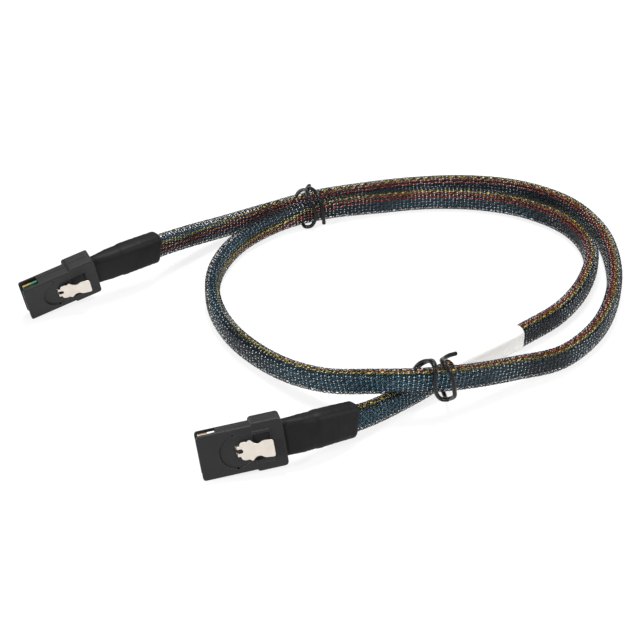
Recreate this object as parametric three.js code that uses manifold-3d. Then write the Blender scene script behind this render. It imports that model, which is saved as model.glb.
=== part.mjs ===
// Internal mini SAS cable: two 36-position plugs with spring latches, joined by
// four ribbon cables and three side-band wires inside one flat braided sleeve.
// Millimetres, +Z up. The cable lies on the surface z = 0.
import * as THREE from 'three';
import { mergeVertices } from 'three/addons/utils/BufferGeometryUtils.js';
import Module from 'manifold-3d';

const wasm = await Module();
wasm.setup();

// Running gap between pieces that seat in or on each other, how far a cut runs past its
// starting face, and how far pieces of one body reach into each other
const GAP = 0.3;
const OVERCUT = 1.0;
const WELD = 0.2;

// Plug housing: u runs back from the nose, v along its width, w from the latch face through it
const PLUG_LENGTH = 36.5;
const NOSE_LENGTH = 22.9;
const NOSE_WIDTH = 20.4;
const NOSE_THICKNESS = 7.4;
const GRIP_WIDTH = 22.2;
const GRIP_THICKNESS = 9.2;
const EDGE_RADIUS = 0.9;
const NOSE_CORNER = 1.8;
const GRIP_CORNER = 2.2;
const FACE_WALL = 1.2;
const BACK_WALL = 1.2;
const SIDE_WALL = 1.1;
const GRIP_BACK_WALL = 1.4;
const PARTING = 4.6;
const SIDE_NOTCH = 8.7;
const REAR_WALL = 5.3;
const OUTLET_CORNER = 2.0;
const CHAMBER_SETBACK = 0.1;
const CHAMBER_FACE_WALL = 1.0;

// Details of the latch face: the round recess is deepest at the nose, and a rounded rib
// stands on each side of the pocket
const RECESS_RADIUS = 7.5;
const RECESS_DEPTH = 0.45;
const RECESS_SLOPE = 4.0;
const RECESS_U = 15.7;
const VENT_RADIUS = 0.55;
const VENT_V = 7.5;
const VENT_U = 15.3;
const POCKET_DEPTH = 1.0;
const POCKET_LENGTH = 7.6;
const RIB_V = 6.6;
const RIB_WIDTH = 1.7;
const RIB_RISE = 0.5;
const RIB_RADIUS = 0.6;

// Locating pins that key the two shells together
const PIN_RADIUS = 0.55;
const PIN_LENGTH = 2.1;
const PIN_INSET = 1.3;
const PIN_SIDES = 12;
const RECESS_SIDES = 32;

// Paddle card and its contact pads
const CARD_THICKNESS = 1.0;
const CARD_W = 3.2;
const CARD_SETBACK = 1.2;
const CARD_EAR = 0.6;
const PAD_COUNT = 18;
const PAD_PITCH = 0.95;
const PAD_WIDTH = 0.55;
const PAD_LENGTH = 4.4;
const PAD_SETBACK = 0.6;
const PAD_PROUD = 0.08;

// Spring latch, one folded and stamped sheet. The outline is half of the plate: distance
// behind the hinge line, then distance from the middle
const SHEET = 0.4;
const LATCH_U = 16.2;
const LATCH_RISE = 14;
const LATCH_ROOT = 0.2;
const LATCH_SLOT = 1.4;
const LATCH_STAND = 0.05;
const RISER_TOP = 0.3;
const TINE_WIDTH = 1.3;
const TINE_OUT = 2.3;
const HOOK_LENGTH = 1.2;
const HOOK_GAP = 0.45;
const LATCH_OUTLINE = [
  [-0.2, 2.3], [1.2, 2.4], [1.3, 3.4], [2.2, 4.0], [3.6, 4.1], [4.6, 4.0], [5.7, 4.7], [6.8, 3.9],
  [7.6, 3.1], [8.4, 2.75], [9.4, 2.8], [10.4, 3.35], [11.4, 3.8], [13.0, 3.85], [14.8, 3.85],
  [15.4, 3.55], [15.6, 2.95],
];

// Clearance behind the moulded block that covers the solder joints
const BLOCK_CLEARANCE = 0.2;

// Braided sleeve and what runs in it
const SLEEVE_HEIGHT = 12.0;
const SLEEVE_THICKNESS = 7.2;
const SLEEVE_CORNER = 2.6;
const SLEEVE_WALL = 0.6;
const RIBBON_COUNT = 4;
const RIBBON_THICKNESS = 0.8;
const RIBBON_HEIGHT = 7.6;
const RIBBON_GAP = 0.4;
const RIBBON_DROP = 0.6;
const WIRE_DIAMETER = 1.1;
const WIRE_PITCH = 1.5;
const WIRE_RISE = 4.1;

// Shrink tube over each end of the sleeve. It is taller than the sleeve by the flare
const BOOT_LENGTH = 36.0;
const BOOT_INSERT = 1.6;
const BOOT_WALL = 0.7;
const BOOT_SLACK = 0.42;
const BOOT_FLARE = 1.6;
const BOOT_SHOULDER = 12.0;
const BOOT_MOUTH_HEIGHT = 17.2;
const BOOT_MOUTH_THICKNESS = 6.6;
const SLEEVE_START = 15.0;

// Wrapped paper label
const LABEL_FROM = 1018.0;
const LABEL_LENGTH = 45.0;
const LABEL_THICKNESS = 0.25;

// Coated twist ties: the points run along each wire from one free end to the other
const TIE_DIAMETER = 1.5;
const TIE_STEPS = 60;
const TIE_SEGMENTS = 3;
const TIE_A_POINTS = [
  [50.3, 142.6, 6.8], [51.3, 142.1, 11.4], [53.6, 138.2, 15.8], [56, 133.2, 18.6], [56.9, 128.4, 19.1],
  [57.8, 124.8, 18.2], [59.7, 123.7, 14.3], [61, 123.5, 9.9], [60.7, 123.7, 5.8], [58.6, 124.1, 2.1],
  [55.7, 124.8, 1.3], [54, 129.6, 1.1], [53.6, 135.2, 0.9], [54, 141.2, 1.3], [55, 145, 4],
  [56.6, 146.2, 10], [57.8, 144.8, 14.8], [56.5, 138.8, 16.6], [58.6, 135.2, 18.6], [61, 130.2, 19.3],
  [62.9, 126.2, 17.7], [64.2, 124.4, 13.6], [65.1, 123.8, 8.5], [65.5, 124.4, 3.5],
];
const TIE_B_POINTS = [
  [123.4, -19.8, 23.7], [120, -22.8, 24.8], [117.3, -26.8, 26], [116.1, -31.3, 28.3], [117, -35.3, 29.1],
  [119.3, -37.6, 26.8], [121, -38, 22.3], [121.8, -37, 16.6], [122.2, -35.4, 12.1], [120, -28.8, 5.2],
  [119.8, -23.8, 1.6], [118.8, -16.8, 0.9], [117.6, -10.8, 1.4], [116.4, -8.4, 5], [114.4, -10.2, 12.4],
  [110, -16.2, 16.2], [105.3, -23.4, 17.9], [106.9, -26.8, 23.4], [109.5, -29.8, 27], [111.7, -34.3, 29.5],
  [112.8, -37.6, 28.4], [113.1, -38, 23.4], [113.4, -37.4, 18], [114.7, -36, 12.8], [116.8, -35.4, 10.3],
  [119.6, -36.4, 10.9],
];

// Pose of each plug: the middle of its nose edge on the latch face, then turn, tilt and roll in degrees
const PLUG_A = { at: [-76.4, 38, 9.493], turn: 26.0, tilt: 11.2, roll: 10.6 };
const PLUG_B = { at: [13.5, -78.05, 11.543], turn: 12.7, tilt: 5.6, roll: -17.0 };

// Free run of the cable from plug A to plug B: x, y, z and the lean of its tall side in degrees.
// The route is measured in short divisions, and the swept solids have a ring every few of them
const FLOOR = 6.3;
const ROUTE_DIVISIONS = 2400;
const STATION_STEP = 17;
const STRAIGHT_RUN = 4.5;
const ROUTE = [
  [-22.6, 73, 19.2, 4], [-5.1, 93.2, 14.2, 0], [13.9, 112.8, 9, 0], [35.4, 128.4, 7.2, 0],
  [59.4, 140, 8.1, 0], [84.9, 150.5, 6.8, 0], [113.8, 157.8, FLOOR, 0], [143.8, 159.8, FLOOR, 0],
  [171.9, 153.8, FLOOR, 0], [195.4, 137, FLOOR, 0], [208.4, 109.8, FLOOR, 0], [210.6, 79.6, FLOOR, 0],
  [205.4, 50, FLOOR, 0], [193.6, 22.7, FLOOR, 0], [174.4, 0.6, 6.8, 0], [151.4, -12.2, 10, 0],
  [129.4, -24.8, 15, 0], [108.9, -32.8, 18.8, 0], [87.4, -34, 19.1, 0], [65.4, -24.6, 12.6, 0],
  [43.4, -6.6, 7.4, 0], [22.9, 18.2, FLOOR, 0], [12.2, 45.7, FLOOR, 0], [11.5, 73.7, FLOOR, 0],
  [22.9, 102.2, 6.5, 0], [44.4, 121.7, 7.9, 0], [67.9, 132.8, 8, 0], [94.4, 141, 6.4, 0],
  [122.4, 145.6, FLOOR, 0], [149.4, 144.2, FLOOR, 0], [174.4, 135.2, FLOOR, 0], [193.8, 116.8, FLOOR, 0],
  [200.8, 90.7, FLOOR, 0], [193.4, 62.2, FLOOR, 0], [178.4, 37.7, FLOOR, 0], [159.9, 20.2, 6.6, 0],
  [140.9, 4.3, 6.9, 0], [121.4, -12.6, 8.2, 0], [102.4, -28.2, 7.1, 0], [83.9, -43.2, 8.1, 5],
  [67.4, -56.4, 12.7, 12],
];

const rad = THREE.MathUtils.degToRad;

// Solids and meshes

function solidOf(geometry) {
  const bare = geometry.clone();
  bare.deleteAttribute('normal');
  bare.deleteAttribute('uv');
  const merged = mergeVertices(bare, 1e-4);
  return new wasm.Manifold(new wasm.Mesh({
    numProp: 3,
    vertProperties: new Float32Array(merged.attributes.position.array),
    triVerts: new Uint32Array(merged.index.array),
  }));
}

function geometryOf(solid) {
  const { vertProperties, triVerts } = solid.getMesh();
  const geometry = new THREE.BufferGeometry();
  geometry.setAttribute('position', new THREE.BufferAttribute(vertProperties, 3));
  geometry.setIndex(new THREE.BufferAttribute(triVerts, 1));
  geometry.computeVertexNormals();
  return geometry;
}

function named(name, geometry, colour, roughness, metalness = 0) {
  const material = new THREE.MeshStandardMaterial({ color: colour, roughness, metalness });
  const mesh = new THREE.Mesh(geometry, material);
  mesh.name = name;
  return mesh;
}

// Outline with round corners, as a shape or as a hole

function roundedRect(x0, x1, y0, y1, radius, Kind = THREE.Shape) {
  const outline = new Kind();
  outline.moveTo(x0 + radius, y0);
  outline.lineTo(x1 - radius, y0);
  outline.absarc(x1 - radius, y0 + radius, radius, -Math.PI / 2, 0);
  outline.absarc(x1 - radius, y1 - radius, radius, 0, Math.PI / 2);
  outline.absarc(x0 + radius, y1 - radius, radius, Math.PI / 2, Math.PI);
  outline.absarc(x0 + radius, y0 + radius, radius, Math.PI, 1.5 * Math.PI);
  return outline;
}

// A section in (w, v) drawn along u, and a plan in (u, v) drawn along w

function bar(section, u0, u1, curveSegments = 3) {
  const geometry = new THREE.ExtrudeGeometry(section, { depth: u1 - u0, bevelEnabled: false, curveSegments });
  const axes = new THREE.Matrix4().makeBasis(
    new THREE.Vector3(0, 1, 0), new THREE.Vector3(0, 0, 1), new THREE.Vector3(1, 0, 0));
  return solidOf(geometry.applyMatrix4(axes).translate(u0, 0, 0));
}

function slab(plan, w0, w1, curveSegments = 4) {
  const geometry = new THREE.ExtrudeGeometry(plan, { depth: w1 - w0, bevelEnabled: false, curveSegments });
  return solidOf(geometry.rotateX(Math.PI / 2).translate(0, w1, 0));
}

function block(u0, u1, v0, v1, w0, w1) {
  const geometry = new THREE.BoxGeometry(u1 - u0, w1 - w0, v1 - v0);
  return solidOf(geometry.translate((u0 + u1) / 2, (w0 + w1) / 2, (v0 + v1) / 2));
}

function disc(u, v, radius, w0, w1, sides) {
  const geometry = new THREE.CylinderGeometry(radius, radius, w1 - w0, sides);
  return solidOf(geometry.translate(u, (w0 + w1) / 2, v));
}

// Plug housing, split into a cover on the latch side and a base behind it

const noseHalf = NOSE_WIDTH / 2;
const gripHalf = GRIP_WIDTH / 2;
const innerHalf = noseHalf - SIDE_WALL;
const cableW = GRIP_THICKNESS / 2;
const chamberFront = NOSE_LENGTH + CHAMBER_SETBACK;
const chamberRear = PLUG_LENGTH - REAR_WALL;
const blockRear = chamberRear - BLOCK_CLEARANCE;
const chamberFace = POCKET_DEPTH + CHAMBER_FACE_WALL;
const chamberBack = GRIP_THICKNESS - GRIP_BACK_WALL;
const pocketFront = NOSE_LENGTH + GAP;
const pinV = gripHalf - PIN_INSET;
const pinU = (chamberRear + PLUG_LENGTH) / 2;

function housing() {
  const nose = bar(roundedRect(0, NOSE_THICKNESS, -noseHalf, noseHalf, EDGE_RADIUS), 0, NOSE_LENGTH + GRIP_CORNER)
    .intersect(slab(roundedRect(0, PLUG_LENGTH, -noseHalf, noseHalf, NOSE_CORNER), -OVERCUT, GRIP_THICKNESS));
  const grip = bar(roundedRect(0, GRIP_THICKNESS, -gripHalf, gripHalf, EDGE_RADIUS), NOSE_LENGTH, PLUG_LENGTH)
    .intersect(slab(roundedRect(NOSE_LENGTH, PLUG_LENGTH, -gripHalf, gripHalf, GRIP_CORNER),
      -OVERCUT, GRIP_THICKNESS + OVERCUT));
  const mouthBack = NOSE_THICKNESS - BACK_WALL;
  const mouth = block(-OVERCUT, chamberFront + WELD, -innerHalf, innerHalf, FACE_WALL, mouthBack);
  const notches = block(-OVERCUT, SIDE_NOTCH, -GRIP_WIDTH, GRIP_WIDTH, FACE_WALL, mouthBack);
  const chamber = block(chamberFront, chamberRear, -innerHalf, innerHalf, chamberFace, chamberBack);
  const halfThick = BOOT_MOUTH_THICKNESS / 2 + GAP;
  const halfTall = BOOT_MOUTH_HEIGHT / 2 + GAP;
  const outlet = bar(roundedRect(cableW - halfThick, cableW + halfThick, -halfTall, halfTall, OUTLET_CORNER),
    chamberRear - WELD, PLUG_LENGTH + OVERCUT);
  return nose.add(grip).subtract(mouth).subtract(notches).subtract(chamber).subtract(outlet);
}

function cover(whole) {
  const keep = block(-OVERCUT, PLUG_LENGTH + OVERCUT, -GRIP_WIDTH, GRIP_WIDTH, -OVERCUT, PARTING - GAP / 2);
  const recess = disc(0, 0, RECESS_RADIUS, -OVERCUT, RECESS_DEPTH, RECESS_SIDES)
    .rotate([0, 0, -RECESS_SLOPE])
    .translate([RECESS_U, 0, 0]);
  const pocketHalf = RIB_V;
  const pocketRear = pocketFront + POCKET_LENGTH;
  const pocket = block(pocketFront, pocketRear, -pocketHalf, pocketHalf, -OVERCUT, POCKET_DEPTH);
  const slotHalf = TINE_OUT + GAP;
  const slot = block(LATCH_U - SHEET - GAP, LATCH_U + SHEET + 2 * GAP, -slotHalf, slotHalf,
    -OVERCUT, FACE_WALL + OVERCUT);
  let shell = whole.intersect(keep).subtract(recess).subtract(pocket).subtract(slot);
  for (const side of [-1, 1]) {
    const ribV = side * RIB_V;
    const ribSection = roundedRect(-RIB_RISE, POCKET_DEPTH + WELD, ribV - RIB_WIDTH / 2, ribV + RIB_WIDTH / 2, RIB_RADIUS);
    const rib = bar(ribSection, pocketFront, pocketRear);
    const vent = disc(VENT_U, side * VENT_V, VENT_RADIUS, -OVERCUT, FACE_WALL + OVERCUT, PIN_SIDES);
    const pinHole = disc(pinU, side * pinV, PIN_RADIUS + GAP, PARTING - PIN_LENGTH - GAP, PARTING + OVERCUT, PIN_SIDES);
    shell = shell.add(rib).subtract(vent).subtract(pinHole);
  }
  return shell;
}

function base(whole) {
  const keep = block(-OVERCUT, PLUG_LENGTH + OVERCUT, -GRIP_WIDTH, GRIP_WIDTH,
    PARTING + GAP / 2, GRIP_THICKNESS + OVERCUT);
  let shell = whole.intersect(keep);
  for (const side of [-1, 1]) {
    shell = shell.add(disc(pinU, side * pinV, PIN_RADIUS, PARTING - PIN_LENGTH, PARTING + OVERCUT, PIN_SIDES));
  }
  return shell;
}

// Paddle card: wide at the nose, where its ears stop against the side walls, with pads on both faces

function paddleCard() {
  const rearHalf = innerHalf - GAP;
  const earHalf = innerHalf + CARD_EAR;
  const rear = chamberFront - GAP;
  const plan = new THREE.Shape();
  plan.moveTo(CARD_SETBACK, -earHalf);
  plan.lineTo(SIDE_NOTCH - GAP, -earHalf);
  plan.lineTo(SIDE_NOTCH - GAP, -rearHalf);
  plan.lineTo(rear, -rearHalf);
  plan.lineTo(rear, rearHalf);
  plan.lineTo(SIDE_NOTCH - GAP, rearHalf);
  plan.lineTo(SIDE_NOTCH - GAP, earHalf);
  plan.lineTo(CARD_SETBACK, earHalf);
  plan.closePath();
  let card = slab(plan, CARD_W, CARD_W + CARD_THICKNESS);
  const padFront = CARD_SETBACK + PAD_SETBACK;
  for (let i = 0; i < PAD_COUNT; i += 1) {
    const v = (i - (PAD_COUNT - 1) / 2) * PAD_PITCH;
    card = card.add(block(padFront, padFront + PAD_LENGTH, v - PAD_WIDTH / 2, v + PAD_WIDTH / 2,
      CARD_W - PAD_PROUD, CARD_W + CARD_THICKNESS + PAD_PROUD));
  }
  return card;
}

// Latch: a stamped plate that rises to the rear, on two tines whose hooks reach under the cover

function latchPlan() {
  const tineIn = TINE_OUT - TINE_WIDTH;
  const plan = new THREE.Shape();
  plan.moveTo(-LATCH_ROOT, tineIn);
  for (const [back, v] of LATCH_OUTLINE) plan.lineTo(back, v);
  for (const [back, v] of LATCH_OUTLINE.slice().reverse()) plan.lineTo(back, -v);
  plan.lineTo(-LATCH_ROOT, -tineIn);
  plan.lineTo(LATCH_SLOT, -tineIn);
  plan.absarc(LATCH_SLOT, 0, tineIn, -Math.PI / 2, Math.PI / 2);
  plan.closePath();
  return plan;
}

function latch() {
  const plate = slab(latchPlan(), -SHEET, 0)
    .rotate([0, 0, -LATCH_RISE])
    .translate([LATCH_U, -LATCH_STAND, 0]);
  const hookFace = FACE_WALL + HOOK_GAP;
  let spring = plate;
  for (const side of [-1, 1]) {
    const v0 = side > 0 ? TINE_OUT - TINE_WIDTH : -TINE_OUT;
    const v1 = v0 + TINE_WIDTH;
    const riser = block(LATCH_U - LATCH_ROOT, LATCH_U - LATCH_ROOT + SHEET, v0, v1, -RISER_TOP, hookFace + SHEET);
    const hook = block(LATCH_U - HOOK_LENGTH, LATCH_U, v0, v1, hookFace, hookFace + SHEET);
    spring = spring.add(riser).add(hook);
  }
  return spring;
}

function mouldedBlock() {
  return block(chamberFront + GAP, blockRear, -innerHalf + GAP, innerHalf - GAP,
    chamberFace + GAP, chamberBack - GAP);
}

// Places a plug, and gives points on it

function plugGroup(pose) {
  const group = new THREE.Group();
  group.position.set(...pose.at);
  group.rotation.set(rad(pose.roll), -rad(pose.tilt), rad(pose.turn), 'ZYX');
  group.updateMatrixWorld(true);
  return group;
}

function onPlug(group, u, v, w) {
  return group.localToWorld(new THREE.Vector3(u, w, v));
}

const plugA = plugGroup(PLUG_A);
const plugB = plugGroup(PLUG_B);

// Frame across the cable at one point: the thin side level and the tall side up, turned by the lean

function crossFrame(tangent, lean) {
  const side = new THREE.Vector3(0, 0, 1).cross(tangent).normalize();
  const up = tangent.clone().cross(side);
  const thin = side.clone().multiplyScalar(Math.cos(lean)).addScaledVector(up, Math.sin(lean));
  return { thin, tall: tangent.clone().cross(thin) };
}

function leanOf(group, direction) {
  const tall = onPlug(group, 0, 1, 0).sub(onPlug(group, 0, 0, 0));
  const { thin, tall: up } = crossFrame(direction, 0);
  return Math.atan2(-tall.dot(thin), tall.dot(up));
}

class CableRoute extends THREE.CatmullRomCurve3 {
  constructor(points, leans) {
    super(points);
    this.leans = leans;
    this.arcLengthDivisions = ROUTE_DIVISIONS;
  }

  leanAt(t) {
    const place = t * (this.leans.length - 1);
    const index = Math.min(Math.floor(place), this.leans.length - 2);
    const share = THREE.MathUtils.smoothstep(place - index, 0, 1);
    return THREE.MathUtils.lerp(this.leans[index], this.leans[index + 1], share);
  }
}

// A piece of the route between two of its stations. The section can be stretched on the way

class Stretch extends THREE.Curve {
  constructor(route, stations, scaleAt = () => [1, 1]) {
    super();
    this.places = stations.map((s) => route.getUtoTmapping(s / route.getLength()));
    this.scales = stations.map(scaleAt);
    this.route = route;
  }

  getSpacedPoints() {
    return this.places.map((t) => this.route.getPoint(t));
  }

  computeFrenetFrames() {
    const frames = { tangents: [], normals: [], binormals: [] };
    this.places.forEach((t, i) => {
      const tangent = this.route.getTangent(t);
      const { thin, tall } = crossFrame(tangent, this.route.leanAt(t));
      frames.tangents.push(tangent);
      frames.normals.push(thin.multiplyScalar(this.scales[i][0]));
      frames.binormals.push(tall.multiplyScalar(this.scales[i][1]));
    });
    return frames;
  }
}

const routeStart = blockRear + GAP;
const straightEnd = PLUG_LENGTH + STRAIGHT_RUN;
const directionA = onPlug(plugA, 1, 0, 0).sub(onPlug(plugA, 0, 0, 0));
const directionB = onPlug(plugB, 0, 0, 0).sub(onPlug(plugB, 1, 0, 0));
const leanA = leanOf(plugA, directionA);
const leanB = leanOf(plugB, directionB);
const route = new CableRoute(
  [
    onPlug(plugA, routeStart, 0, cableW), onPlug(plugA, straightEnd, 0, cableW),
    ...ROUTE.map(([x, y, z]) => new THREE.Vector3(x, y, z)),
    onPlug(plugB, straightEnd, 0, cableW), onPlug(plugB, routeStart, 0, cableW),
  ],
  [leanA, leanA, ...ROUTE.map((point) => rad(point[3])), leanB, leanB],
);
const routeLength = route.getLength();

// Stations shared by everything swept along the route, so that nested pieces keep their gaps

const bootFrom = PLUG_LENGTH - BOOT_INSERT - routeStart;
const bootTo = bootFrom + BOOT_LENGTH;
const sleeveFrom = bootFrom + SLEEVE_START;
const anchors = [
  0, bootFrom, bootFrom + BOOT_SHOULDER, sleeveFrom, bootTo,
  LABEL_FROM, LABEL_FROM + LABEL_LENGTH,
  routeLength - bootTo, routeLength - sleeveFrom, routeLength - bootFrom - BOOT_SHOULDER,
  routeLength - bootFrom, routeLength,
];
const stations = [anchors[0]];
for (let i = 1; i < anchors.length; i += 1) {
  const span = anchors[i] - anchors[i - 1];
  const pieces = Math.max(1, Math.round(span / STATION_STEP));
  for (let k = 1; k <= pieces; k += 1) stations.push(anchors[i - 1] + (span * k) / pieces);
}
const between = (from, to) => stations.filter((s) => s > from - 1e-6 && s < to + 1e-6);

function sweep(section, from, to, scaleAt, curveSegments = 1) {
  const path = new Stretch(route, between(from, to), scaleAt);
  return new THREE.ExtrudeGeometry(section, { steps: path.places.length - 1, extrudePath: path, curveSegments });
}

function tubeSection(height, thickness, corner, wall) {
  const x = thickness / 2;
  const y = height / 2;
  const section = roundedRect(-x, x, -y, y, corner);
  section.holes.push(roundedRect(wall - x, x - wall, wall - y, y - wall, corner - wall, THREE.Path));
  return section;
}

const group = new THREE.Group();
group.add(plugA, plugB);

const BLACK_PLASTIC = 0x2b2b2c;
const SPRING_STEEL = 0xd9d2c9;

for (const [plug, letter] of [[plugA, 'a'], [plugB, 'b']]) {
  const whole = housing();
  plug.add(named(`cover_shell_${letter}`, geometryOf(cover(whole)), BLACK_PLASTIC, 0.55));
  plug.add(named(`base_shell_${letter}`, geometryOf(base(whole)), BLACK_PLASTIC, 0.55));
  plug.add(named(`paddle_card_${letter}`, geometryOf(paddleCard()), 0x1f6b45, 0.45));
  plug.add(named(`latch_spring_${letter}`, geometryOf(latch()), SPRING_STEEL, 0.35, 0.8));
  plug.add(named(`solder_block_${letter}`, geometryOf(mouldedBlock()), 0x1d1d1e, 0.7));
}

// Shrink tubes: wide and thin where they enter the housing, then over the sleeve

const bootHeight = SLEEVE_HEIGHT + BOOT_FLARE + 2 * (BOOT_SLACK + BOOT_WALL);
const bootThickness = SLEEVE_THICKNESS + 2 * (BOOT_SLACK + BOOT_WALL);
const mouthScale = [BOOT_MOUTH_THICKNESS / bootThickness, BOOT_MOUTH_HEIGHT / bootHeight];
const bootSection = tubeSection(bootHeight, bootThickness, SLEEVE_CORNER + 1, BOOT_WALL);

function bootScale(distance) {
  const opening = Math.min(1, (distance - bootFrom) / BOOT_SHOULDER);
  const fall = Math.min(1, (distance - bootFrom) / BOOT_LENGTH);
  return [THREE.MathUtils.lerp(mouthScale[0], 1, opening), THREE.MathUtils.lerp(mouthScale[1], 1, fall)];
}

group.add(named('shrink_tube_a', sweep(bootSection, bootFrom, bootTo, bootScale), 0x222223, 0.6));
group.add(named('shrink_tube_b',
  sweep(bootSection, routeLength - bootTo, routeLength - bootFrom, (s) => bootScale(routeLength - s)), 0x222223, 0.6));

// Cable: sleeve, ribbons and wires

group.add(named('braided_sleeve',
  sweep(tubeSection(SLEEVE_HEIGHT, SLEEVE_THICKNESS, SLEEVE_CORNER, SLEEVE_WALL), sleeveFrom, routeLength - sleeveFrom),
  0x26333d, 0.5));

const ribbonStep = RIBBON_THICKNESS + RIBBON_GAP;
for (let i = 0; i < RIBBON_COUNT; i += 1) {
  const x = (i - (RIBBON_COUNT - 1) / 2) * ribbonStep;
  const section = new THREE.Shape();
  section.moveTo(x - RIBBON_THICKNESS / 2, -RIBBON_HEIGHT / 2 - RIBBON_DROP);
  section.lineTo(x + RIBBON_THICKNESS / 2, -RIBBON_HEIGHT / 2 - RIBBON_DROP);
  section.lineTo(x + RIBBON_THICKNESS / 2, RIBBON_HEIGHT / 2 - RIBBON_DROP);
  section.lineTo(x - RIBBON_THICKNESS / 2, RIBBON_HEIGHT / 2 - RIBBON_DROP);
  section.closePath();
  group.add(named(`ribbon_cable_${i + 1}`, sweep(section, 0, routeLength), 0x2f6f9b, 0.4));
}

const WIRES = [['wire_yellow', 0xb79a2a], ['wire_orange', 0xb5562a], ['wire_red', 0x9c2c26]];
WIRES.forEach(([name, colour], i) => {
  const section = new THREE.Shape();
  const x = (i - (WIRES.length - 1) / 2) * WIRE_PITCH;
  section.absarc(x, WIRE_RISE, WIRE_DIAMETER / 2, 0, 2 * Math.PI);
  group.add(named(name, sweep(section, 0, routeLength, undefined, 3), colour, 0.4));
});

// Label: one turn of paper round the sleeve

const labelThickness = SLEEVE_THICKNESS + 2 * (GAP + LABEL_THICKNESS);
const labelHeight = SLEEVE_HEIGHT + 2 * (GAP + LABEL_THICKNESS);
group.add(named('label_wrap',
  sweep(tubeSection(labelHeight, labelThickness, SLEEVE_CORNER + GAP, LABEL_THICKNESS), LABEL_FROM,
    LABEL_FROM + LABEL_LENGTH), 0xeeece6, 0.6));

// Twist ties: one coated wire each, wound once and a half round both strands

function tieWire(points) {
  const path = new THREE.CatmullRomCurve3(points.map((point) => new THREE.Vector3(...point)));
  const section = new THREE.Shape();
  section.absarc(0, 0, TIE_DIAMETER / 2, 0, 2 * Math.PI);
  return new THREE.ExtrudeGeometry(section, { steps: TIE_STEPS, extrudePath: path, curveSegments: TIE_SEGMENTS });
}

group.add(named('twist_tie_a', tieWire(TIE_A_POINTS), 0x1a1a1b, 0.3));
group.add(named('twist_tie_b', tieWire(TIE_B_POINTS), 0x1a1a1b, 0.3));

export default group;
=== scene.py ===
import math
import bmesh
import bpy
import numpy as np
from mathutils import Euler, Matrix, Vector


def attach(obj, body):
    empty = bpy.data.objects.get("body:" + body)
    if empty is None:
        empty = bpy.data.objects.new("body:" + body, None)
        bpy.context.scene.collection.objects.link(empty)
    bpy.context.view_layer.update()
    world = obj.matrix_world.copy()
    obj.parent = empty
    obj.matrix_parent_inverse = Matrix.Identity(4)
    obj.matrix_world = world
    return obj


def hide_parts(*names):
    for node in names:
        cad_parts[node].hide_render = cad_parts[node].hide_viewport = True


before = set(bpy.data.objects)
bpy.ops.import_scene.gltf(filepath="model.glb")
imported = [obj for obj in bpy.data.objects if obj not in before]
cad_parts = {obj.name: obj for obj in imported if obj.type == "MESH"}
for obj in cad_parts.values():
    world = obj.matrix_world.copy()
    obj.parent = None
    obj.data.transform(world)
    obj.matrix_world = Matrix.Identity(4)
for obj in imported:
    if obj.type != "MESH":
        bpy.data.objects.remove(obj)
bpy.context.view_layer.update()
MM = 0.001

# Camera: a long lens, a little above the cable, as the photograph was taken.
# The whole cable lies inside a square picture.
AIM = (63.4 * MM, 40.2 * MM, 0.0)
CAMERA_DISTANCE = 725 * MM
CAMERA_ELEVATION = 34.8
LENS = 84.43
SENSOR = 36.0
NEAREST_SEEN = 0.01
FARTHEST_SEEN = 20.0


def placed(name, data):
    """A new object of the data, in the scene."""
    made = bpy.data.objects.new(name, data)
    bpy.context.scene.collection.objects.link(made)
    return made


lens = bpy.data.cameras.new("camera")
lens.lens = LENS
lens.sensor_width = SENSOR
lens.clip_start = NEAREST_SEEN
lens.clip_end = FARTHEST_SEEN
camera = placed("camera", lens)
elevation = math.radians(CAMERA_ELEVATION)
sight = Vector((0, -math.cos(elevation), math.sin(elevation)))
camera.location = Vector(AIM) + sight * CAMERA_DISTANCE
camera.rotation_euler = (-sight).to_track_quat("-Z", "Y").to_euler()
bpy.context.scene.camera = camera

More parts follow.
